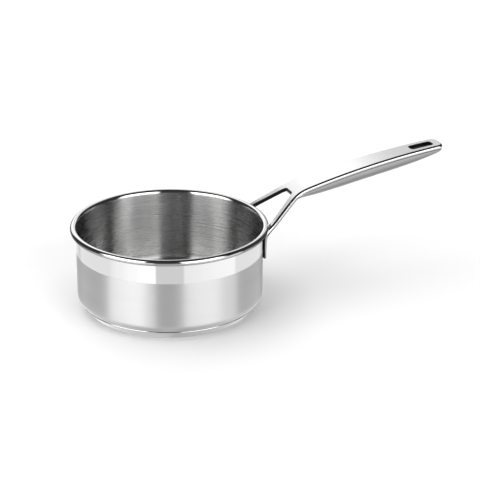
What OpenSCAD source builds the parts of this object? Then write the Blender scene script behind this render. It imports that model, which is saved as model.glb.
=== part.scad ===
// Stainless-steel saucepan: a deep-drawn vessel with a rolled pouring rim, an encapsulated
// three-layer base and a forked, hollow grip that is welded to the wall by two pads.
// The origin is on the vessel's axis at the face it stands on; the handle points along +X.

/* [Vessel] */
// Inner diameter of the vessel, which is the size of lid that it takes
vessel_inner_d = 160; // [158:0.5:162]
// Thickness of the drawn sheet
wall_t = 0.8; // [0.6:0.1:1]
// Height of the rim's top above the worktop
rim_top_z = 75.7; // [73:0.1:79]
// Outer radius of the corner between wall and floor
corner_r = 9; // [8:0.5:11]

/* [Rim] */
// Radius of the gentle outward flare under the rim
flare_r = 4; // [3:0.5:7]
// Angle that the flare leans out before it rolls over
flare_angle = 30; // [26:1:36]
// Radius of the rolled edge at the middle of the sheet
roll_r = 2.3; // [1.9:0.1:2.5]

/* [Base] */
// Height of the vessel's underside above the worktop
floor_under_z = 5.6; // [5.2:0.1:6]
// Thickness of the magnetic steel cap
cap_t = 0.6; // [0.5:0.1:0.8]
// Radius of the flat face that the pan stands on
foot_r = 70.2; // [69:0.2:71]
// Slope of the cap's side above the horizontal
cap_slope = 50.6; // [50:0.2:52]
// Clearance between the aluminium core and the sheets around it
core_gap = 0.05; // [0.05:0.01:0.1]

/* [Handle] */
// Thickness of the forked bar
bar_t = 3.8; // [3.4:0.1:4.6]
// Slope of the two prongs
prong_slope = 35.5; // [34:0.5:37]
// Slope of the grip where it leaves the fork
grip_slope = 14.2; // [13:0.1:16]
// Slope of the grip at its tip
tip_slope = 4.8; // [4:0.1:7]
// Distance of the grip's tip from the vessel's axis
tip_x = 260.4; // [256:0.2:264]
// Half the width of the grip at the fork
grip_half_w = 13.6; // [12.5:0.1:14.2]
// Width that the grip loses towards the tip, per millimetre and side
grip_taper = 0.0255; // [0.02:0.0005:0.03]
// Half the distance between the prongs' outer edges at the rim
prong_half_spread = 28.7; // [27.5:0.1:29]
// Greatest depth of the grip below its top face
grip_depth = 13.6; // [12:0.2:15]
// Thickness of the belly's pressed sheet
belly_t = 1; // [0.8:0.1:1.2]

/* [Hanging slot] */
// Distance of the slot's centre from the vessel's axis
slot_x = 241.3; // [238:0.1:243]
// Half the slot's length
slot_half_l = 11; // [9:0.1:12]
// Half the slot's width
slot_half_w = 4.9; // [4:0.1:6]
// Radius of the slot's corners
slot_corner_r = 2.8; // [1.5:0.1:3.5]
// Thickness of the belly's drawn collar around the slot
collar_t = 0.8; // [0.6:0.1:1]

/* [Weld pads] */
// Thickness of a pad at its top
pad_t = 4; // [3.5:0.1:4.5]
// Thickness of a pad at its foot
pad_foot_t = 3; // [2.6:0.1:3.4]
// Height of the pads' lower end above the worktop
pad_low_z = 40.8; // [39:0.1:44]
// Distance of a pad's inner side from the handle's middle plane
pad_inner_y = 17; // [15:0.5:19]

/* [Hidden] */

$fn = 96;
vessel_outer_r = vessel_inner_d / 2 + wall_t;
prong_x = 84;          // where prong_half_spread and the prongs' height are measured
prong_top_z = 70.75;   // height of the prongs' top face there
prong_taper = 0.49;    // how fast the prongs' outer edges close in, per millimetre
bend_x = 107;          // where the prongs' straight slope ends
bend_r = 54;           // radius of the bend between prongs and grip
crotch_x = 112.5;      // where the gap between the prongs ends
crotch_half_w = 6.8;   // half the gap's width there
crotch_r = 4;          // radius of the gap's corners
gap_taper = 0.59;      // how fast the gap opens towards the vessel, per millimetre
pad_gap = 0.05;        // weld line between a pad and the wall
grip_start_x = 124;    // where grip_half_w is measured
tip_round = 6;         // length of the rounded tip
waist_blend = 2.2;     // how gently the prongs' outline runs into the grip's
belly_start_x = 113.5; // where the belly meets the underside of the fork
belly_end_x = tip_x - 0.6;

// ---- Small helpers ----

// Points on an arc about c, from angle a0 to a1
function arc(c, r, a0, a1, n) =
    [for (i = [0:n]) let (a = a0 + (a1 - a0) * i / n) [c[0] + r * cos(a), c[1] + r * sin(a)]];

function reversed(list) = [for (i = [len(list) - 1:-1:0]) list[i]];

// A band of thickness t around an open line, as one closed outline
function normal_at(p, i) =
    let (a = p[max(i - 1, 0)], b = p[min(i + 1, len(p) - 1)], d = (b - a) / norm(b - a)) [-d[1], d[0]];
function shifted(p, t) = [for (i = [0:len(p) - 1]) p[i] + t * normal_at(p, i)];
function band(p, t) = concat(shifted(p, t / 2), reversed(shifted(p, -t / 2)));

// The larger of two values, blended smoothly over a range of about k
function soft_max(a, b, k) = (a + b + sqrt((a - b) * (a - b) + k * k)) / 2;

// ---- Vessel ----

mid_r = vessel_outer_r - wall_t / 2;
mid_corner_r = corner_r - wall_t / 2;
flare_z = rim_top_z - wall_t / 2 - roll_r * (1 - sin(flare_angle)) - flare_r * sin(flare_angle);
roll_c = [mid_r + flare_r * (1 - cos(flare_angle)) + roll_r * cos(flare_angle),
          rim_top_z - wall_t / 2 - roll_r];

// Middle line of the sheet, from the axis to the rolled edge
function vessel_line() = concat(
    [[0, floor_under_z + wall_t / 2]],
    arc([mid_r - mid_corner_r, floor_under_z + corner_r], mid_corner_r, -90, 0, 14),
    arc([mid_r + flare_r, flare_z], flare_r, 180, 180 - flare_angle, 8),
    arc(roll_c, roll_r, 180 - flare_angle - 4, -70, 20));

module vessel() {
    color("silver")
        rotate_extrude() polygon(band(vessel_line(), wall_t));
}

// ---- Base ----

cap_turn_r = 2.5;
cap_top_z = 8.1;

function cap_line() =
    let (turn = arc([foot_r, cap_t / 2 + cap_turn_r], cap_turn_r, -90, cap_slope - 90, 8),
         last = turn[len(turn) - 1],
         rise = cap_top_z - last[1])
    concat([[0, cap_t / 2]], turn, [last + [rise / tan(cap_slope), rise]]);

module base_cap() {
    color("lightgray")
        rotate_extrude()
            difference() {
                polygon(band(cap_line(), cap_t));
                translate([0, floor_under_z - core_gap])
                    square([mid_r - corner_r, wall_t]);
                translate([vessel_outer_r - corner_r, floor_under_z + corner_r])
                    circle(r = corner_r + core_gap);
            }
}

// Core radius at height z, inside the cap's sloping side
function core_r_at(z) = foot_r + cap_turn_r * sin(cap_slope) - (cap_t + core_gap) * sin(cap_slope)
    + (z - cap_turn_r * (1 - cos(cap_slope)) - (cap_t + core_gap) * cos(cap_slope)) / tan(cap_slope) - 0.4;

module base_core() {
    low = cap_t + core_gap;
    high = floor_under_z - core_gap;
    color("gainsboro")
        rotate_extrude()
            polygon([[0, low], [foot_r - 0.5, low], [core_r_at(low + 1.2), low + 1.2],
                     [core_r_at(high), high], [0, high]]);
}

// ---- Handle ----

prong_top_at = function (x) prong_top_z + (x - prong_x) * tan(prong_slope);
bend_c = [bend_x + bend_r * sin(prong_slope), prong_top_at(bend_x) - bend_r * cos(prong_slope)];
bend_end = bend_c + bend_r * [-sin(grip_slope), cos(grip_slope)];
grip_r = (tip_x - bend_end[0]) / (sin(grip_slope) - sin(tip_slope));
grip_c = bend_end + grip_r * [sin(grip_slope), -cos(grip_slope)];

// Height of the handle's top face above the worktop at distance x from the axis
function top_z(x) =
    x < bend_x ? prong_top_at(x)
    : x < bend_end[0] ? bend_c[1] + sqrt(bend_r * bend_r - (x - bend_c[0]) * (x - bend_c[0]))
    : grip_c[1] + sqrt(grip_r * grip_r - (x - grip_c[0]) * (x - grip_c[0]));

// Half the handle's width at distance x from the axis
function tip_share(x) = x < tip_x - tip_round ? 1
    : pow(1 - pow(min(1, (x - tip_x + tip_round) / tip_round), 2.6), 1 / 2.6);
function half_w(x) = tip_share(x) * soft_max(grip_half_w - grip_taper * (x - grip_start_x),
                                 prong_half_spread - prong_taper * (x - prong_x), waist_blend);

bar_xs = concat([70], [for (i = [0:8]) bend_x + (bend_end[0] - bend_x) * i / 8],
                [for (i = [1:14]) bend_end[0] + (tip_x - bend_end[0]) * i / 14]);
outline_xs = concat([70, prong_x, 98], [for (x = [106:3:136]) x], [160, 190, 220],
                    [for (i = [0:8]) tip_x - tip_round * (1 - sin(90 * i / 8))]);

function bar_side() = let (p = [for (x = bar_xs) [x, top_z(x)]]) concat(p, reversed(shifted(p, -bar_t)));
function bar_plan() = concat([for (x = outline_xs) [x, half_w(x)]],
                             reversed([for (x = outline_xs) [x, -half_w(x)]]));

// The tapering gap between the prongs, with rounded inner corners
module fork_gap() {
    open_x = 60;
    open_half_w = crotch_half_w + gap_taper * (crotch_x - open_x);
    cx = crotch_x - crotch_r;
    cy = crotch_half_w - crotch_r * (sqrt(1 + gap_taper * gap_taper) - gap_taper);
    turn = 90 - atan(gap_taper);
    polygon(concat([[open_x, open_half_w]], arc([cx, cy], crotch_r, turn, 0, 6),
                   arc([cx, -cy], crotch_r, 0, -turn, 6), [[open_x, -open_half_w]]));
}

// The slot's outline with rounded corners, grown by g on all sides
module slot_shape(g) {
    r = slot_corner_r + g;
    l = slot_half_l - slot_corner_r;
    w = slot_half_w - slot_corner_r;
    translate([slot_x, 0]) {
        square([2 * (l + r), 2 * w], center = true);
        square([2 * l, 2 * (w + r)], center = true);
        for (x = [-l, l], y = [-w, w]) translate([x, y]) circle(r = r);
    }
}

module through(low, high) {
    translate([0, 0, low]) linear_extrude(height = high - low) children();
}

module bar() {
    difference() {
        intersection() {
            rotate([90, 0, 0]) translate([0, 0, -40]) linear_extrude(height = 80) polygon(bar_side());
            through(40, 140) polygon(bar_plan());
        }
        through(40, 140) fork_gap();
        through(40, 140) slot_shape(0);
    }
}

// One pad against the wall, thinner towards its foot
module weld_pad(side) {
    high_z = top_z(78) - 1;
    inner = vessel_outer_r + pad_gap;
    intersection() {
        rotate_extrude()
            polygon([[inner, pad_low_z + 1], [inner + 1, pad_low_z], [inner + pad_foot_t - 1, pad_low_z],
                     [inner + pad_foot_t, pad_low_z + 1], [inner + pad_t, high_z - 4],
                     [inner + pad_t, high_z], [inner, high_z]]);
        translate([60, side > 0 ? pad_inner_y : -prong_half_spread - 1.4, 0])
            cube([40, prong_half_spread + 1.4 - pad_inner_y, 100]);
    }
}

module handle_fork() {
    color("silver")
        difference() {
            union() {
                bar();
                weld_pad(1);
                weld_pad(-1);
            }
            translate([0, 0, 30]) cylinder(r = vessel_outer_r + pad_gap, h = 60, $fn = 180);
        }
}

// Depth of the grip below its top face, from the fork to the tip
function belly_u(x) = (x - belly_start_x) / (belly_end_x - belly_start_x);
function depth_at(x) = bar_t + 0.4
    + (grip_depth - bar_t) * pow(max(0, 1 - pow(abs(2 * belly_u(x) - 1), 2.6)), 0.6);

// One cross-section of the belly, of a rounded U, shrunk by t on its sides and bottom
section_n = 20;
function belly_section(x, t, lift) =
    let (w = half_w(x) - 0.1 - t, roof = top_z(x) - bar_t / cos(grip_slope) - 0.05 + lift,
         deep = max(0.4, depth_at(x) - bar_t - t))
    concat([[x, w, roof]],
           [for (i = [0:section_n])
               let (a = 180 * i / section_n, c = cos(a), s = sin(a))
               [x, w * sign(c) * pow(abs(c), 0.75), roof - lift - 0.3 - deep * pow(s, 0.75)]],
           [[x, -w, roof]]);

function belly_xs(t) = [for (i = [0:32]) let (a = -90 + 180 * i / 32)
    (belly_start_x + belly_end_x) / 2 + ((belly_end_x - belly_start_x) / 2 - t) * sin(a)];

// A closed solid through the sections
module swept(sections) {
    m = len(sections[0]);
    n = len(sections);
    quads = [for (i = [0:n - 2], j = [0:m - 1]) let (k = (j + 1) % m)
        [i * m + j, i * m + k, (i + 1) * m + k, (i + 1) * m + j]];
    polyhedron(points = [for (s = sections, p = s) p],
               faces = concat(quads, [[for (j = [m - 1:-1:0]) j]], [[for (j = [0:m - 1]) (n - 1) * m + j]]),
               convexity = 6);
}

module belly_outside() {
    swept([for (x = belly_xs(0)) belly_section(x, 0, 0)]);
}

// The slot's wall below the bar, drawn up from the belly's sheet
module slot_collar() {
    intersection() {
        belly_outside();
        through(60, 140) slot_shape(collar_t);
    }
}

module handle_belly() {
    color("darkgray")
        difference() {
            union() {
                difference() {
                    belly_outside();
                    swept([for (x = belly_xs(3)) belly_section(x, belly_t, 2)]);
                }
                slot_collar();
            }
            through(60, 140) slot_shape(0);
        }
}

vessel();
base_core();
base_cap();
handle_fork();
handle_belly();
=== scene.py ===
"""Looks for the stainless saucepan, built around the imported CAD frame. Lengths are millimetres until MM."""
import math

import bmesh
import bpy
import numpy as np
from mathutils import Matrix, Vector


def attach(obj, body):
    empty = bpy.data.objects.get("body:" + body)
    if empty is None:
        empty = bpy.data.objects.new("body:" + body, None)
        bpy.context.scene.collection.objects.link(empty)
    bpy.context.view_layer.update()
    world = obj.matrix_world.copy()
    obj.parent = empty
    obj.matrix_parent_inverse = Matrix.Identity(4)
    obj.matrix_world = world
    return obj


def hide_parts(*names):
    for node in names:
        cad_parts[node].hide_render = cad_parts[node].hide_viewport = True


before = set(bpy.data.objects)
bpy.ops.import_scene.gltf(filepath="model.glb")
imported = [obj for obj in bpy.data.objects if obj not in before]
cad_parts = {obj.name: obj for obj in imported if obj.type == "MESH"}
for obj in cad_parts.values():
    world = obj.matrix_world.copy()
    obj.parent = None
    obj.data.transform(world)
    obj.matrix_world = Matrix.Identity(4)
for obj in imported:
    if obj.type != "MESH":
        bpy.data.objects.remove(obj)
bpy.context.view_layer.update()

MM = 0.001

# ---------------------------------------------------------------- dimensions, as in the CAD
INNER_R = 80.0
WALL = 0.8
OUTER_R = INNER_R + WALL
MID_R = INNER_R + WALL / 2
RIM_TOP = 75.7
FLOOR_UNDER = 5.6
CORNER_R = 9.0
FLARE_R, FLARE_ANGLE = 4.0, 30.0
ROLL_R, ROLL_END = 2.3, -70.0
FOOT_R, CAP_TURN_R, CAP_TOP = 70.2, 2.5, 8.1

BAR_T = 3.8
PRONG_SLOPE, GRIP_SLOPE, TIP_SLOPE = 35.5, 14.2, 4.8
BEND_X, BEND_R = 107.0, 54.0
TIP_X, TIP_ROUND = 260.4, 6.0
GRIP_X, GRIP_W, GRIP_TAPER = 124.0, 13.6, 0.0255
PRONG_X, PRONG_TOP, PRONG_W, PRONG_TAPER, WAIST_BLEND = 84.0, 70.75, 28.7, 0.49, 2.2
SLOT_X, SLOT_L, SLOT_W, SLOT_CORNER = 241.3, 11.0, 4.9, 2.8
CROTCH_X, CROTCH_W, CROTCH_R, GAP_TAPER = 112.5, 6.8, 4.0, 0.59
PAD_LOW, PAD_INNER, PAD_OUTER, PAD_FOOT_T = 40.8, 17.0, 29.4, 3.0
BELLY_START, BELLY_END, GRIP_DEPTH = 113.5, TIP_X - 0.6, 13.6
TIP_POWER = 2.6                                 # how square the grip's tip is
BELLY_POWER, SECTION_POWER = 2.6, 0.75          # how full the belly is along the grip and across it

# ---------------------------------------------------------------- dimensions of the finish

FINISH_Z = 53.15                                # where the satin wall ends and the polished band starts
FLARE_BRUSHED = 1.2                             # how far the inside's brushing runs up the flare
GROOVE_SHADE_TOP = 8.85                               # painted shade: the near-black band for the crevice above the cap starts here and runs down
CAP_SIDE_SLOPE = 47.6                           # slope of the cap's side, which ends in a slim rolled bead
BEAD_R, BEAD_CENTRE = 0.55, (77.5, 7.6)


def sind(a):
    return math.sin(math.radians(a))


def cosd(a):
    return math.cos(math.radians(a))


def tand(a):
    return math.tan(math.radians(a))


def smooth(x, lo, hi):
    t = min(1.0, max(0.0, (x - lo) / (hi - lo)))
    return t * t * (3 - 2 * t)


def mix(a, b, t):
    return a + (b - a) * t


# ---------------------------------------------------------------- mesh helpers

def make_object(name, verts, faces, face_mats, materials, sharp_angle=40.0):
    mesh = bpy.data.meshes.new(name)
    mesh.from_pydata([(x * MM, y * MM, z * MM) for x, y, z in verts], [], faces)
    for m in materials:
        mesh.materials.append(m)
    for poly, k in zip(mesh.polygons, face_mats):
        poly.material_index = k
    mesh.validate()
    mesh.update()
    obj = bpy.data.objects.new(name, mesh)
    bpy.context.scene.collection.objects.link(obj)
    bm = bmesh.new()
    bm.from_mesh(mesh)
    bmesh.ops.remove_doubles(bm, verts=bm.verts, dist=1e-6)
    bmesh.ops.recalc_face_normals(bm, faces=bm.faces)
    limit = math.radians(sharp_angle)
    for f in bm.faces:
        f.smooth = True
    for e in bm.edges:
        e.smooth = not (len(e.link_faces) == 2 and e.calc_face_angle(0) > limit)
    bm.to_mesh(mesh)
    bm.free()
    return obj


def lathe(name, profile, mats, materials, segments=288, sharp_angle=40.0):
    """Turns a closed profile that starts and ends on the axis. mats has one index per profile edge."""
    verts, faces, face_mats, rows = [], [], [], []
    for r, z in profile:
        if r < 1e-6:
            rows.append([len(verts)] * segments)
            verts.append((0, 0, z))
        else:
            rows.append(list(range(len(verts), len(verts) + segments)))
            for k in range(segments):
                a = 2 * math.pi * k / segments
                verts.append((r * math.cos(a), r * math.sin(a), z))
    for i in range(len(profile) - 1):
        for k in range(segments):
            n = (k + 1) % segments
            quad = [rows[i][k], rows[i][n], rows[i + 1][n], rows[i + 1][k]]
            quad = [v for j, v in enumerate(quad) if v != quad[j - 1]]
            faces.append(quad)
            face_mats.append(mats[i])
    return make_object(name, verts, faces, face_mats, materials, sharp_angle)


def arc(c, r, a0, a1, n):
    angles = [a0 + (a1 - a0) * i / n for i in range(n + 1)]
    return [(c[0] + r * cosd(a), c[1] + r * sind(a)) for a in angles]


def line_normals(p):
    out = []
    for i in range(len(p)):
        a, b = p[max(i - 1, 0)], p[min(i + 1, len(p) - 1)]
        dx, dy = b[0] - a[0], b[1] - a[1]
        d = math.hypot(dx, dy)
        out.append((-dy / d, dx / d))
    return out


def shifted(p, t):
    return [(q[0] + t * n[0], q[1] + t * n[1]) for q, n in zip(p, line_normals(p))]


# ---------------------------------------------------------------- materials

def nodes_of(name):
    m = bpy.data.materials.new(name)
    m.use_nodes = True
    nt = m.node_tree
    bsdf = nt.nodes["Principled BSDF"]
    return m, nt, bsdf


def add(nt, kind, **values):
    n = nt.nodes.new(kind)
    for k, v in values.items():
        setattr(n, k, v)
    return n


def math_node(nt, op, a, b=None):
    n = add(nt, "ShaderNodeMath", operation=op)
    for i, v in enumerate((a, b)):
        if v is None:
            continue
        if isinstance(v, (int, float)):
            n.inputs[i].default_value = v
        else:
            nt.links.new(v, n.inputs[i])
    return n.outputs[0]


def ring_coords(nt, turns, pitch):
    """Coordinates that change slowly around the axis and fast across the turning lines."""
    tc = add(nt, "ShaderNodeTexCoord")
    sep = add(nt, "ShaderNodeSeparateXYZ")
    nt.links.new(tc.outputs["Object"], sep.inputs[0])
    x, y, z = sep.outputs
    squares = math_node(nt, "ADD", math_node(nt, "MULTIPLY", x, x), math_node(nt, "MULTIPLY", y, y))
    r = math_node(nt, "SQRT", squares)
    safe = math_node(nt, "MAXIMUM", r, 0.001)
    comb = add(nt, "ShaderNodeCombineXYZ")
    nt.links.new(math_node(nt, "MULTIPLY", math_node(nt, "DIVIDE", x, safe), turns), comb.inputs[0])
    nt.links.new(math_node(nt, "MULTIPLY", math_node(nt, "DIVIDE", y, safe), turns), comb.inputs[1])
    nt.links.new(math_node(nt, "MULTIPLY", math_node(nt, "ADD", r, z), 1 / (pitch * MM)), comb.inputs[2])
    return comb.outputs[0]


def long_coords(nt, length, pitch):
    """Coordinates that change slowly along the handle and fast across it."""
    tc = add(nt, "ShaderNodeTexCoord")
    mp = add(nt, "ShaderNodeMapping")
    mp.inputs["Scale"].default_value = (1 / (length * MM), 1 / (pitch * MM), 1 / (pitch * MM))
    nt.links.new(tc.outputs["Object"], mp.inputs[0])
    return mp.outputs[0]


def noise(nt, vector, detail=4.0):
    n = add(nt, "ShaderNodeTexNoise")
    n.inputs["Scale"].default_value = 1.0
    n.inputs["Detail"].default_value = detail
    n.inputs["Roughness"].default_value = 0.6
    nt.links.new(vector, n.inputs["Vector"])
    return n.outputs["Fac"]


def ranged(nt, fac, lo, hi):
    """Stretches the middle of a noise to the range from lo to hi."""
    n = add(nt, "ShaderNodeMapRange")
    n.inputs["From Min"].default_value, n.inputs["From Max"].default_value = 0.3, 0.7
    n.inputs["To Min"].default_value, n.inputs["To Max"].default_value = lo, hi
    nt.links.new(fac, n.inputs["Value"])
    return n.outputs["Result"]


BUMP_HEIGHT = 0.02


def steel(name, tone, rough, grain, brushing=0.0, axis="Z", bump=0.0, tone_swing=0.03, rough_swing=0.15,
          grazing=1.0):
    """Metal with a fine grain: tone and roughness waver along the grain lines, and the bump raises them.

    grain is (kind, slow, fine, coarse). Brushing stretches the highlights across the grain, and a low
    grazing darkens the metal where it is seen at a flat angle.
    """
    m, nt, bsdf = nodes_of(name)
    bsdf.inputs["Metallic"].default_value = 1.0
    bsdf.inputs["Anisotropic"].default_value = brushing
    bsdf.inputs["Specular Tint"].default_value = (grazing, grazing, grazing, 1)
    if brushing:
        bsdf.inputs["Anisotropic Rotation"].default_value = 0.25
        tangent = add(nt, "ShaderNodeTangent", direction_type="RADIAL", axis=axis)
        nt.links.new(tangent.outputs[0], bsdf.inputs["Tangent"])
    kind, slow, fine, coarse = grain
    coords = ring_coords if kind == "ring" else long_coords
    fine_fac = noise(nt, coords(nt, slow, fine))
    slower = slow * (0.7 if kind == "ring" else 1.5)
    coarse_fac = noise(nt, coords(nt, slower, coarse), 3.0)
    both = math_node(nt, "MULTIPLY", math_node(nt, "ADD", fine_fac, coarse_fac), 0.5)
    ramp = add(nt, "ShaderNodeValToRGB")
    ramp.color_ramp.elements[0].position, ramp.color_ramp.elements[1].position = 0.35, 0.65
    for e, k in zip(ramp.color_ramp.elements, (1 - tone_swing, 1 + tone_swing)):
        e.color = (*(c * k for c in tone), 1)
    nt.links.new(both, ramp.inputs[0])
    nt.links.new(ramp.outputs[0], bsdf.inputs["Base Color"])
    wavering = ranged(nt, both, rough * (1 - rough_swing), rough * (1 + rough_swing))
    nt.links.new(wavering, bsdf.inputs["Roughness"])
    if bump:
        b = add(nt, "ShaderNodeBump")
        b.inputs["Strength"].default_value = bump
        b.inputs["Distance"].default_value = BUMP_HEIGHT * MM
        nt.links.new(fine_fac, b.inputs["Height"])
        nt.links.new(b.outputs[0], bsdf.inputs["Normal"])
    return m


def grey(v, warm=0.0):
    return (v, v, v - warm)


inside_mat = steel("brushed_inside", grey(0.64, 0.003), 0.27, ("ring", 2.0, 0.45, 3.0), brushing=1.0,
                   bump=0.012, tone_swing=0.015, rough_swing=0.06, grazing=0.0)
floor_mat = steel("brushed_inside_floor", grey(0.70, 0.003), 0.17, ("ring", 2.0, 0.45, 3.0), brushing=0.8,
                  bump=0.012, tone_swing=0.015, rough_swing=0.06, grazing=0.4)
polish_mat = steel("polished_band", grey(0.74), 0.055, ("ring", 1.0, 1.2, 12.0), tone_swing=0.01)
satin_mat = steel("satin_wall", grey(0.68), 0.33, ("ring", 1.2, 0.4, 7.0), brushing=0.85, bump=0.06,
                  tone_swing=0.02)
# Painted shade: near-black steel that stands in for the shade in the crevice between the wall and the cap,
# and in the hidden recess under the wall
groove_shade_mat = steel("groove_shade", grey(0.025), 0.4, ("ring", 1.0, 0.5, 5.0))
cap_mat = steel("cap_satin", grey(0.60), 0.3, ("ring", 1.2, 0.4, 6.0), brushing=0.5, bump=0.08)
top_mat = steel("brushed_top", grey(0.74), 0.22, ("long", 10.0, 0.35, 1.6), brushing=0.5, axis="Y",
                bump=0.12, tone_swing=0.04)
edge_mat = steel("polished_edge", grey(0.74), 0.06, ("long", 10.0, 1.0, 5.0), tone_swing=0.01)
# Painted shade: the belly and the bar's underside are toned down to stand in for the shadowed worktop that
# they reflect
belly_shade_mat = steel("satin_belly_painted_shade", grey(0.40), 0.38, ("long", 16.0, 0.4, 3.0), brushing=0.3, axis="Y",
                  bump=0.10)
# Painted shade and painted reflection: near-black steel for the shade in the slot and in the gap between the
# prongs, at the pads against the wall and under the prongs, and for the dark reflection along the top face's
# edge
painted_dark_mat = steel("painted_shade_and_reflection", grey(0.02), 0.45, ("long", 3.0, 0.6, 3.0))

# ---------------------------------------------------------------- vessel

flare_z = RIM_TOP - WALL / 2 - ROLL_R * (1 - sind(FLARE_ANGLE)) - FLARE_R * sind(FLARE_ANGLE)
roll_c = (MID_R + FLARE_R * (1 - cosd(FLARE_ANGLE)) + ROLL_R * cosd(FLARE_ANGLE),
          RIM_TOP - WALL / 2 - ROLL_R)
mid_corner = CORNER_R - WALL / 2
wall_low, wall_high = FLOOR_UNDER + CORNER_R, flare_z
wall_zs = [*np.linspace(wall_low, FINISH_Z, 12)[1:], *np.linspace(FINISH_Z, wall_high, 6)[1:-1]]
mid_line = ([(r, FLOOR_UNDER + WALL / 2) for r in np.linspace(0, MID_R - mid_corner, 20)[:-1]]
            + arc((MID_R - mid_corner, FLOOR_UNDER + CORNER_R), mid_corner, -90, 0, 24)
            + [(MID_R, z) for z in wall_zs]
            + arc((MID_R + FLARE_R, flare_z), FLARE_R, 180, 180 - FLARE_ANGLE, 14)
            + arc(roll_c, ROLL_R, 180 - FLARE_ANGLE - 4, ROLL_END, 34))
inner = shifted(mid_line, WALL / 2)
outer = shifted(mid_line, -WALL / 2)
inner[0], outer[0] = (0, inner[0][1]), (0, outer[0][1])
end_c = mid_line[-1]
end_n = line_normals(mid_line)[-1]
end_a = math.degrees(math.atan2(end_n[1], end_n[0]))
sheet_edge = arc(end_c, WALL / 2, end_a, end_a - 180, 8)[1:-1]
profile = inner + sheet_edge + outer[::-1]
INSIDE, POLISH, SATIN, GROOVE_SHADE, INSIDE_FLOOR = range(5)


def vessel_finish(r, z, is_inside):
    if is_inside:
        if r < MID_R - mid_corner:
            return INSIDE_FLOOR
        return INSIDE if z < flare_z + FLARE_BRUSHED else POLISH
    # Outside, the wall below GROOVE_SHADE_TOP is painted near-black as the shade in the crevice over the cap
    if z > FINISH_Z:
        return POLISH
    return SATIN if z > GROOVE_SHADE_TOP else GROOVE_SHADE


vessel_mats = [vessel_finish((p[0] + q[0]) / 2, (p[1] + q[1]) / 2, i < len(inner) - 1)
               for i, (p, q) in enumerate(zip(profile, profile[1:]))]
vessel = lathe("vessel_shell", profile, vessel_mats,
               [inside_mat, polish_mat, satin_mat, groove_shade_mat, floor_mat])
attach(vessel, "root")
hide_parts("vessel")

# ---------------------------------------------------------------- base cap with its rolled bead

turn = arc((FOOT_R, CAP_TURN_R), CAP_TURN_R, -90, CAP_SIDE_SLOPE - 90, 12)
bead = arc(BEAD_CENTRE, BEAD_R, CAP_SIDE_SLOPE - 90, 100, 14)
last, side_top = turn[-1], bead[0]
RECESS_OUTER, RECESS_INNER, RECESS_GAP = 76.2, 72.4, 0.1
recess = [(RECESS_OUTER, CAP_TOP - 0.4), (RECESS_INNER, FLOOR_UNDER - RECESS_GAP),
          (0, FLOOR_UNDER - RECESS_GAP)]
cap_outer = [(r, 0.0) for r in np.linspace(0, FOOT_R, 16)[:-1]] + turn
cap_outer += [(mix(last[0], side_top[0], t), mix(last[1], side_top[1], t)) for t in (0.33, 0.67)]
CAP_SATIN, CAP_GROOVE_SHADE, CAP_POLISH = range(3)
# The edge into the recess and the recess under the wall are painted near-black as shade
cap_mats = [CAP_SATIN] * (len(cap_outer) + 3) + [CAP_POLISH] * (len(bead) - 4) + [CAP_GROOVE_SHADE] * len(recess)
cap = lathe("base_cap_shell", cap_outer + bead + recess, cap_mats, [cap_mat, groove_shade_mat, polish_mat])
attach(cap, "root")
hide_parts("base_cap", "base_core")

# ---------------------------------------------------------------- handle: centre line

bend_top = PRONG_TOP + (BEND_X - PRONG_X) * tand(PRONG_SLOPE)
bend_c = (BEND_X + BEND_R * sind(PRONG_SLOPE), bend_top - BEND_R * cosd(PRONG_SLOPE))
bend_end = (bend_c[0] - BEND_R * sind(GRIP_SLOPE), bend_c[1] + BEND_R * cosd(GRIP_SLOPE))
grip_r = (TIP_X - bend_end[0]) / (sind(GRIP_SLOPE) - sind(TIP_SLOPE))
grip_c = (bend_end[0] + grip_r * sind(GRIP_SLOPE), bend_end[1] - grip_r * cosd(GRIP_SLOPE))


def top_z(x):
    if x < BEND_X:
        return PRONG_TOP + (x - PRONG_X) * tand(PRONG_SLOPE)
    if x < bend_end[0]:
        return bend_c[1] + math.sqrt(BEND_R ** 2 - (x - bend_c[0]) ** 2)
    return grip_c[1] + math.sqrt(grip_r ** 2 - (x - grip_c[0]) ** 2)


def slope_at(x):
    return math.degrees(math.atan2(top_z(x + 0.2) - top_z(x - 0.2), 0.4))


def half_w(x):
    past = min(1.0, max(0.0, (x - TIP_X + TIP_ROUND) / TIP_ROUND))
    tip = (1 - past ** TIP_POWER) ** (1 / TIP_POWER)
    a, b = GRIP_W - GRIP_TAPER * (x - GRIP_X), PRONG_W - PRONG_TAPER * (x - PRONG_X)
    return tip * (a + b + math.sqrt((a - b) ** 2 + WAIST_BLEND ** 2)) / 2


# The fork is laid out flat, as a pattern in (s, y), and then bent. s is x along the prongs and the grip.
# Below BEND_S it runs on round the foot bend and down the wall.
FOOT_BEND_R = 13.0
WALL_R = OUTER_R + 0.1
WALL_X = 76.9                                   # where the pads' middle meets the wall
BEND_S = WALL_X + FOOT_BEND_R * (1 - cosd(90 - PRONG_SLOPE))
BEND_LEN = math.radians(90 - PRONG_SLOPE) * FOOT_BEND_R
FOOT_TOP_Z = top_z(BEND_S) - FOOT_BEND_R * sind(90 - PRONG_SLOPE)
WALL_S = BEND_S - BEND_LEN
FOOT_S = WALL_S - (FOOT_TOP_Z - PAD_LOW) + 0.3
GAP_START = 88.0                                # from here on the gap's sides are straight
GAP_LEAN = 1.16                                 # width of an inset across those leaning sides
OUTLINE_START = 90.0                            # from here on the outline is the fork's own
FOLLOW_END = 94.0                               # up to here the bar still follows the wall's curve


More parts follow.
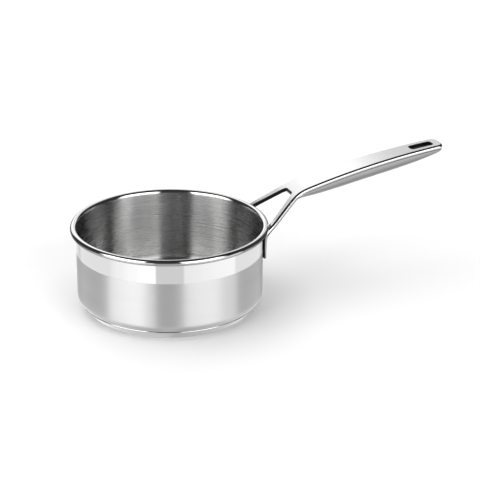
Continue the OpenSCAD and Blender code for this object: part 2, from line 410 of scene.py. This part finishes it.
def station(s):
    """(x, z, slope in degrees) of the bar's top face."""
    if s >= BEND_S:
        return s, top_z(s), slope_at(s)
    if s > WALL_S:
        a = math.degrees((BEND_S - s) / FOOT_BEND_R)
        ang = 90 + PRONG_SLOPE + a
        return WALL_X + FOOT_BEND_R * (1 + cosd(ang)), FOOT_TOP_Z + FOOT_BEND_R * sind(ang), PRONG_SLOPE + a
    return WALL_X, FOOT_TOP_Z - (WALL_S - s), 90.0


def thickness(s):
    return mix(PAD_FOOT_T, BAR_T, smooth(s, FOOT_S, BEND_S + 2))


def bent(s, y, depth):
    """Point of the bent bar that lies at depth under the pattern's point (s, y)."""
    x, z, slope = station(s)
    follow = 1 - smooth(s, WALL_S + 2, FOLLOW_END)
    x += follow * (math.sqrt(WALL_R ** 2 - y ** 2) - WALL_X)
    share = 1 - smooth(s, WALL_S, BEND_S + 6)
    down = Vector((sind(slope), 0, -cosd(slope)))
    radial = Vector((x, y, 0)).normalized() * sind(slope)
    radial.z = -cosd(slope)
    n = down.lerp(radial, share).normalized()
    return x + n.x * depth, y + n.y * depth, z + n.z * depth


INSET = 1.5                                     # the top face stops this far inside the outline
STRIP, MIDDLE = 9, 28                           # columns in each side strip and between them


def gap_w(s):
    line = CROTCH_W + GAP_TAPER * (CROTCH_X - s)
    leaning = mix(1, GAP_LEAN, smooth(s, GAP_START, GAP_START + 4))
    return mix(PAD_INNER, line, smooth(s, WALL_S + 1, GAP_START)) + INSET * leaning


def outer_w(s):
    return mix(PAD_OUTER, half_w(s), smooth(s, WALL_S, OUTLINE_START)) - INSET


def power(v, p):
    return math.copysign(abs(v) ** p, v)


def round_end(t, flat, r, lean, run):
    """End of an opening, from one side (t = -1) to the other (t = 1).

    Half the straight end is flat long. Each corner has radius r and turns until its side leans out by the
    angle lean, and the side then runs on.
    """
    turn = math.radians(90 - lean) * r
    d = abs(t) * (flat + turn + run)
    if d < flat:
        along, across = r, d
    elif d < flat + turn:
        a = math.degrees((d - flat) / r)
        along, across = r * cosd(a), flat + r * sind(a)
    else:
        rest = d - flat - turn
        along, across = r * sind(lean) - rest * cosd(lean), flat + r * cosd(lean) + rest * sind(lean)
    return along, math.copysign(across, t)


def crotch_curve(t):
    """End of the gap between the prongs, from one side (t = -1) to the other (t = 1)."""
    r, lean = CROTCH_R + INSET, math.degrees(math.atan(GAP_TAPER))
    flat = CROTCH_W - CROTCH_R * (math.sqrt(1 + GAP_TAPER ** 2) - GAP_TAPER)
    along, across = round_end(t, flat, r, lean, r * tand(lean))
    return CROTCH_X - CROTCH_R + along, across


def slot_curve(t, side):
    along, across = round_end(t, SLOT_W - SLOT_CORNER, SLOT_CORNER + INSET, 0.0, 0.0)
    return SLOT_X + side * (SLOT_L - SLOT_CORNER + along), across


def side_columns(xi, wi, xo, wo):
    """The two side strips of one row, from the outer edge (xo, wo) to the inner edge (xi, wi)."""
    left = [(mix(xo, xi, j / STRIP), -mix(wo, wi, j / STRIP)) for j in range(STRIP + 1)]
    return left, [(x, -y) for x, y in left[::-1]]


pattern, faces2d = [], []


def add_rows(rows):
    """Adds a grid of points and its quads to the pattern."""
    start = len(pattern)
    n = len(rows[0])
    for row in rows:
        pattern.extend(row)
    for i in range(len(rows) - 1):
        for j in range(n - 1):
            a = start + i * n + j
            faces2d.append((a, a + n, a + n + 1, a + 1))


crotch_s = CROTCH_X - CROTCH_R
slot_lo, slot_hi = SLOT_X - SLOT_L + SLOT_CORNER, SLOT_X + SLOT_L - SLOT_CORNER
slot_edge = SLOT_W + INSET

# Prongs and pads. The lowest row is the pad's foot, with rounded corners.
FOOT_CORNER, FOOT_POWER = 3.0, 1 / 3
prong_s = [*np.linspace(FOOT_S + FOOT_CORNER, WALL_S, 7), *np.linspace(WALL_S, BEND_S, 9)[1:],
           *np.linspace(BEND_S, crotch_s, 19)[1:]]
for side in (-1, 1):
    rows = []
    for s in prong_s:
        left, right = side_columns(s, gap_w(s), s, outer_w(s))
        rows.append(left if side < 0 else right)
    lo, hi = rows[0][0][1], rows[0][-1][1]
    mid, hw = (lo + hi) / 2, (hi - lo) / 2
    foot_row = []
    for j in range(STRIP + 1):
        t = 2 * j / STRIP - 1
        foot_row.append((FOOT_S + INSET + (FOOT_CORNER - INSET) * (1 - abs(cosd(90 * t)) ** FOOT_POWER),
                         mid + hw * power(sind(90 * t), FOOT_POWER)))
    between = [[(mix(f[0], r[0], k), mix(f[1], r[1], k)) for f, r in zip(foot_row, rows[0])]
               for k in (0.35, 0.7)]
    add_rows([foot_row] + between + rows)

# Grip up to the slot
grip_rows = []
GRIP_N = 64
for i in range(GRIP_N + 1):
    k = i / GRIP_N
    xe, we = mix(crotch_s, slot_lo, k), mix(gap_w(crotch_s), slot_edge, k)
    row = []
    for j in range(MIDDLE + 1):
        t = 2 * j / MIDDLE - 1
        cx, cy = crotch_curve(t)
        sx, sy = slot_curve(t, -1)
        a, b = (1 - k) ** 4, k ** 4
        y = we * t
        row.append((xe + (cx - crotch_s) * a + (sx - slot_lo) * b,
                    y + (cy - gap_w(crotch_s) * t) * a + (sy - slot_edge * t) * b))
    left, right = side_columns(xe, we, xe, outer_w(xe))
    grip_rows.append(left[:-1] + row + right[1:])
add_rows(grip_rows)

# Beside the slot
for side in (-1, 1):
    rows = []
    for s in np.linspace(slot_lo, slot_hi, 9):
        left, right = side_columns(s, slot_edge, s, outer_w(s))
        rows.append(left if side < 0 else right)
    add_rows(rows)

# Tip: fans out from the slot's round end to the outline
TIP_N = 40
edge_x = TIP_X - TIP_ROUND


def tip_outline(angle):
    """Outline point in a direction from the centre of the slot's round end."""
    lo, hi = 0.0, 30.0
    for _ in range(50):
        r = (lo + hi) / 2
        x, y = slot_hi + r * cosd(angle), r * abs(sind(angle))
        w = outer_w(min(x, edge_x))
        over = max(0.0, (x - edge_x) / (TIP_ROUND - INSET)) ** TIP_POWER + (y / w) ** TIP_POWER
        lo, hi = (lo, r) if over > 1 else (r, hi)
    return slot_hi + r * cosd(angle), r * sind(angle)


tip_rows = []
for i in range(TIP_N + 1):
    t = 2 * i / TIP_N - 1
    ox, oy = tip_outline(90 * t) if abs(t) < 1 else (slot_hi, t * outer_w(slot_hi))
    ix, iy = slot_curve(t, 1)
    tip_rows.append([(mix(ox, ix, j / STRIP), mix(oy, iy, j / STRIP)) for j in range(STRIP + 1)])
add_rows(tip_rows)

# Weld the pattern's patches, then find its boundary
keys, where, index = {}, [], []
for p in pattern:
    key = (round(p[0], 3), round(p[1], 3))
    if key not in keys:
        keys[key] = len(where)
        where.append(p)
    index.append(keys[key])
quads = []
for f in faces2d:
    q = [index[v] for v in f]
    q = [v for i, v in enumerate(q) if v != q[i - 1]]
    corners = [where[v] for v in q]
    area = sum(a[0] * b[1] - b[0] * a[1] for a, b in zip(corners[-1:] + corners, corners))
    quads.append(q if area > 0 else q[::-1])
edge_set = {(q[i - 1], v) for q in quads for i, v in enumerate(q)}
border = {a: b for a, b in edge_set if (b, a) not in edge_set}
before = {b: a for a, b in border.items()}


def outward(v):
    out = Vector((0, 0))
    for a, b in ((before[v], v), (v, border[v])):
        d = Vector(where[b]) - Vector(where[a])
        if d.length > 1e-6:
            out += Vector((d.y, -d.x)).normalized()
    out.normalize()
    return out


slot_loop = set()
v = min(border, key=lambda k: math.hypot(where[k][0] - SLOT_X - SLOT_L - INSET, where[k][1]))
while v not in slot_loop:
    slot_loop.add(v)
    v = border[v]


def edge_kind(v):
    """Where a border point is: in the slot, inside the fork, on a pad or on the outer edge."""
    x, y = where[v]
    if v in slot_loop:
        return "slot"
    if x < CROTCH_X + 2 and abs(y) < (gap_w(x) + outer_w(x)) / 2:
        return "gap"
    return "pad" if x < WALL_S + 5 else "outer"


# The bar's edge in (outward, depth): down from the top face, broad outside and sharp round the openings,
# and then in to the underside, with the depth counted from there
BROAD = [(0.12, 0.015), (0.28, 0.08), (0.42, 0.19), (1.28, 1.10), (1.43, 1.32), (INSET, 1.55), (INSET, 1.9)]
SHARP = [(1.0, 0.0), (1.3, 0.01), (1.38, 0.04), (1.45, 0.12), (1.48, 0.25), (INSET, 0.5), (INSET, 1.9)]
LOWER = [(INSET, 1.25), (1.3, 0.45), (0.85, 0.0)]
TOP, EDGE, BELLY, PAINTED_DARK = range(4)
SIDE = len(BROAD)                               # the row that is the bar's upright side
ROWS = SIDE + len(LOWER) + 1
FLAT_ROWS, LINE_ROWS = 2, 3                     # flat round an opening, and round the top face a painted dark line that stands in for a dark reflection


# Rows painted near-black: painted shade on the walls of the openings, at the pads against the wall and under
# the prongs, and a painted dark reflection round the top face
def edge_finish(kind, on_prong, row):
    if kind in ("slot", "gap"):
        return TOP if row < FLAT_ROWS else PAINTED_DARK
    if kind == "pad":
        return PAINTED_DARK if row < SIDE else BELLY
    if row < LINE_ROWS or (on_prong and SIDE < row < ROWS - 1):
        return PAINTED_DARK
    return BELLY if row == ROWS - 1 else EDGE


verts = [bent(s, y, 0.0) for s, y in where] + [bent(s, y, thickness(s)) for s, y in where]
n_flat = len(where)
faces = quads + [[v + n_flat for v in q[::-1]] for q in quads]
face_mats = [TOP] * len(quads) + [BELLY] * len(quads)
rings = {}
for v in border:
    s, y = where[v]
    n = outward(v)
    t = thickness(s)
    upper = SHARP if edge_kind(v) in ("slot", "gap") else BROAD
    ring = [(out, depth) for out, depth in upper] + [(out, t - up) for out, up in LOWER]
    rings[v] = [v, *range(len(verts), len(verts) + len(ring)), v + n_flat]
    verts += [bent(s + n.x * out, y + n.y * out, depth) for out, depth in ring]
for a, b in border.items():
    for row in range(ROWS):
        faces.append([rings[b][row], rings[a][row], rings[a][row + 1], rings[b][row + 1]])
        face_mats.append(edge_finish(edge_kind(a), where[a][0] < CROTCH_X, row))

fork = make_object("handle_fork_bar", verts, faces, face_mats, [top_mat, edge_mat, belly_shade_mat, painted_dark_mat],
                   sharp_angle=180.0)
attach(fork, "root")
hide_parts("handle_fork")

# ---------------------------------------------------------------- belly

def depth_at(x):
    u = (x - BELLY_START) / (BELLY_END - BELLY_START)
    return BAR_T + 0.4 + (GRIP_DEPTH - BAR_T) * max(0.0, 1 - abs(2 * u - 1) ** BELLY_POWER) ** 0.6


def belly_row(x):
    """Cross-section of the belly at x: a rounded U that hangs from the bar's underside."""
    w, deep = half_w(x) - 0.12, max(0.4, depth_at(x) - BAR_T)
    roof = top_z(x) - BAR_T / cosd(GRIP_SLOPE) - 0.02
    turns = [180 * k / SECTION_N for k in range(SECTION_N + 1)]
    bottom = [(x, w * power(cosd(b), SECTION_POWER), roof - 0.3 - deep * abs(sind(b)) ** SECTION_POWER)
              for b in turns]
    return [(x, w, roof), *bottom, (x, -w, roof)]


BELLY_N, SECTION_N = 80, 40
belly_rows = [belly_row(mix(BELLY_START, BELLY_END, (sind(180 * i / BELLY_N - 90) + 1) / 2))
              for i in range(BELLY_N + 1)]
n = len(belly_rows[0])
verts = [p for row in belly_rows for p in row]
faces = [[i * n + j, i * n + (j + 1) % n, (i + 1) * n + (j + 1) % n, (i + 1) * n + j]
         for i in range(BELLY_N) for j in range(n)]
faces += [list(range(n - 1, -1, -1)), [BELLY_N * n + j for j in range(n)]]
belly = make_object("handle_belly_shell", verts, faces, [0] * len(faces), [belly_shade_mat, painted_dark_mat])

# The slot goes through the belly as well, and its cut walls take the painted shade from the cutter's material
CUT_LOW, CUT_HIGH = 95.0, 125.0
cut_side = []
for side in (1, -1):
    for k in range(33):
        along, across = round_end(k / 16 - 1, SLOT_W - SLOT_CORNER, SLOT_CORNER, 0.0, 0.0)
        cut_side.append((SLOT_X + side * (SLOT_L - SLOT_CORNER + along), side * across))
m = len(cut_side)
cut_verts = [(x, y, z) for z in (CUT_LOW, CUT_HIGH) for x, y in cut_side]
cut_faces = [list(range(m - 1, -1, -1)), list(range(m, 2 * m))]
cut_faces += [[k, (k + 1) % m, m + (k + 1) % m, m + k] for k in range(m)]
cutter = make_object("cutter", cut_verts, cut_faces, [0] * len(cut_faces), [painted_dark_mat])
cut = belly.modifiers.new("slot", "BOOLEAN")
cut.operation, cut.object, cut.solver, cut.material_mode = "DIFFERENCE", cutter, "EXACT", "TRANSFER"
graph = bpy.context.evaluated_depsgraph_get()
baked = bpy.data.meshes.new_from_object(belly.evaluated_get(graph), depsgraph=graph)
belly.modifiers.clear()
belly.data = baked
bpy.data.objects.remove(cutter)
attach(belly, "root")
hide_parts("handle_belly")

# ---------------------------------------------------------------- worktop, camera, world and lights

FLOOR_SIZE = 6.0                                # metres, half the worktop's width
floor_verts = [(FLOOR_SIZE * x, FLOOR_SIZE * y, 0) for x, y in ((-1, -1), (1, -1), (1, 1), (-1, 1))]
floor_mesh = bpy.data.meshes.new("floor")
floor_mesh.from_pydata(floor_verts, [], [(0, 1, 2, 3)])
floor = bpy.data.objects.new("floor", floor_mesh)
bpy.context.scene.collection.objects.link(floor)
floor_white, _, floor_bsdf = nodes_of("floor_white")
floor_bsdf.inputs["Base Color"].default_value = (0.86, 0.86, 0.86, 1)
floor_bsdf.inputs["Roughness"].default_value = 0.9
floor_bsdf.inputs["Specular IOR Level"].default_value = 0.1
floor_mesh.materials.append(floor_white)
floor.visible_glossy = False

CAM_E, CAM_A, CAM_ROLL, CAM_D = 22.166, 22.14, -0.32, 1.5
fwd = Vector((sind(CAM_A) * cosd(CAM_E), cosd(CAM_A) * cosd(CAM_E), -sind(CAM_E)))
right = Vector((cosd(CAM_A), -sind(CAM_A), 0))
down = fwd.cross(right)
right_r = right * cosd(CAM_ROLL) + down * sind(CAM_ROLL)
down_r = down * cosd(CAM_ROLL) - right * sind(CAM_ROLL)
target = Vector((0.0642, -0.0039, 0.05168))
cam_data = bpy.data.cameras.new("camera")
cam_data.lens = 127.95
cam_data.sensor_width = 36.0
cam = bpy.data.objects.new("camera", cam_data)
bpy.context.scene.collection.objects.link(cam)
basis = Matrix((right_r, -down_r, -fwd)).transposed().to_4x4()
basis.translation = target - fwd * CAM_D
cam.matrix_world = basis
bpy.context.scene.camera = cam

# World: a white tent with an open, dark top and a dark gap behind the camera
world = bpy.data.worlds.new("tent")
bpy.context.scene.world = world
world.use_nodes = True
wnt = world.node_tree
bg = wnt.nodes["Background"]
wtc = add(wnt, "ShaderNodeTexCoord")
wsep = add(wnt, "ShaderNodeSeparateXYZ")
wnt.links.new(wtc.outputs["Generated"], wsep.inputs[0])
wx, wy, wz = wsep.outputs
elev = math_node(wnt, "ARCSINE", wz)
elev_fac = math_node(wnt, "ADD", math_node(wnt, "DIVIDE", elev, math.pi), 0.5)


def ramp_of(fac, stops):
    r = add(wnt, "ShaderNodeValToRGB")
    r.color_ramp.interpolation = "EASE"
    el = r.color_ramp.elements
    while len(el) < len(stops):
        el.new(0.5)
    for e, (pos, v) in zip(el, stops):
        e.position = pos
        e.color = (v, v, v, 1)
    wnt.links.new(fac, r.inputs[0])
    return r.outputs[0]


# Heading in the studio: 0 is the side that the camera stands on, and positive is to its right
head = Vector((-fwd.x, -fwd.y)).normalized()


def flat_dot(a, b):
    return math_node(wnt, "ADD", math_node(wnt, "MULTIPLY", wx, a), math_node(wnt, "MULTIPLY", wy, b))


heading = math_node(wnt, "ARCTAN2", flat_dot(right.x, right.y), flat_dot(head.x, head.y))
heading_fac = math_node(wnt, "ADD", math_node(wnt, "DIVIDE", heading, 2 * math.pi), 0.5)


def blend_nodes(fac, a, b, kind="MIX"):
    n = add(wnt, "ShaderNodeMix", data_type="RGBA", blend_type=kind)
    if isinstance(fac, float):
        n.inputs["Factor"].default_value = fac
    else:
        wnt.links.new(fac, n.inputs["Factor"])
    wnt.links.new(a, n.inputs["A"])
    wnt.links.new(b, n.inputs["B"])
    return n.outputs["Result"]


def by_elevation(stops):
    return ramp_of(elev_fac, [(e / 180 + 0.5, v) for e, v in stops])


def by_heading(stops):
    return ramp_of(heading_fac, [(h / 360 + 0.5, v) for h, v in stops])


# Slices of the tent, by heading: behind the camera, the softboxes beside it, the dark flanks, the backdrop
behind_camera = by_elevation([(-90, 0.52), (-50, 0.50), (-36, 0.58), (-24, 0.62), (-17, 0.62), (-8, 0.08),
                              (60, 0.02)])
softboxes = by_elevation([(-90, 0.52), (-75, 0.34), (-50, 0.36), (-36, 0.72), (-26, 0.97), (-5, 1.03),
                          (12, 2.7), (38, 2.7), (44, 0.04), (90, 0.02)])
softbox_falloff = by_heading([(-180, 0.82), (-78, 0.82), (-62, 0.92), (-45, 1.0), (-25, 1.08), (-14, 1.1),
                              (18, 0.84), (30, 0.87), (50, 0.92), (62, 0.95), (80, 0.97), (180, 0.97)])
flanks = by_elevation([(-90, 0.52), (-60, 0.56), (-40, 0.66), (-28, 0.78), (-19, 0.74), (-16, 0.03),
                       (20, 0.03), (50, 0.02)])
backdrop = by_elevation([(-90, 0.52), (-50, 0.9), (-36, 1.2), (-24, 0.72), (-19, 0.66), (-16, 0.02),
                         (3, 0.02), (7, 1.0), (45, 1.0), (52, 0.05)])
backdrop_falloff = by_heading([(-180, 0.63), (-177.9, 0.66), (-176.2, 1.02), (-174.4, 1.2), (-171, 1.12),
                               (-166, 1.0), (-155, 0.97), (-143, 0.80), (143, 0.60), (155, 0.75),
                               (169, 0.80), (180, 0.60)])


def outside_of(left, right):
    """Mask of the headings outside two soft limits, each given as (fully outside, fully inside)."""
    return by_heading([(-180, 1), (left[0], 1), (left[1], 0), (right[1], 0), (right[0], 1), (180, 1)])


def split_mask(low, high):
    """A mask with other limits above the horizon than below it."""
    above = by_elevation([(-90, 0), (-6, 0), (0, 1), (90, 1)])
    return blend_nodes(above, outside_of(*low), outside_of(*high))


softboxes = blend_nodes(1.0, softboxes, softbox_falloff, "MULTIPLY")
backdrop = blend_nodes(1.0, backdrop, backdrop_falloff, "MULTIPLY")
centre_mask = split_mask(((-15.8, -13.8), (20.3, 18.3)), ((-30, -24), (19, 13)))
flank_mask = split_mask(((-78, -73.5), (92, 87.5)), ((-84, -72), (71, 60)))
tent = blend_nodes(centre_mask, behind_camera, softboxes)
tent = blend_nodes(flank_mask, tent, flanks)
tent = blend_nodes(outside_of((-146, -134), (158, 146)), tent, backdrop)
wnt.links.new(tent, bg.inputs["Color"])
bg.inputs["Strength"].default_value = 1.33


def area(name, location, aim, size, power_w):
    """A round lamp that lights the worktop but isn't seen in the steel."""
    data = bpy.data.lights.new(name, "AREA")
    data.shape, data.size, data.energy = "DISK", size, power_w
    obj = bpy.data.objects.new(name, data)
    bpy.context.scene.collection.objects.link(obj)
    obj.location = location
    obj.rotation_euler = (Vector(aim) - Vector(location)).to_track_quat("-Z", "Y").to_euler()
    obj.visible_glossy = False


area("key", (-1.3, 0.9, 2.1), (0, 0, 0), 2.4, 20)
area("overhead", (0.2, 0.3, 3.0), (0.2, 0.3, 0), 5.0, 79)

view = bpy.context.scene.view_settings
view.view_transform = "Standard"
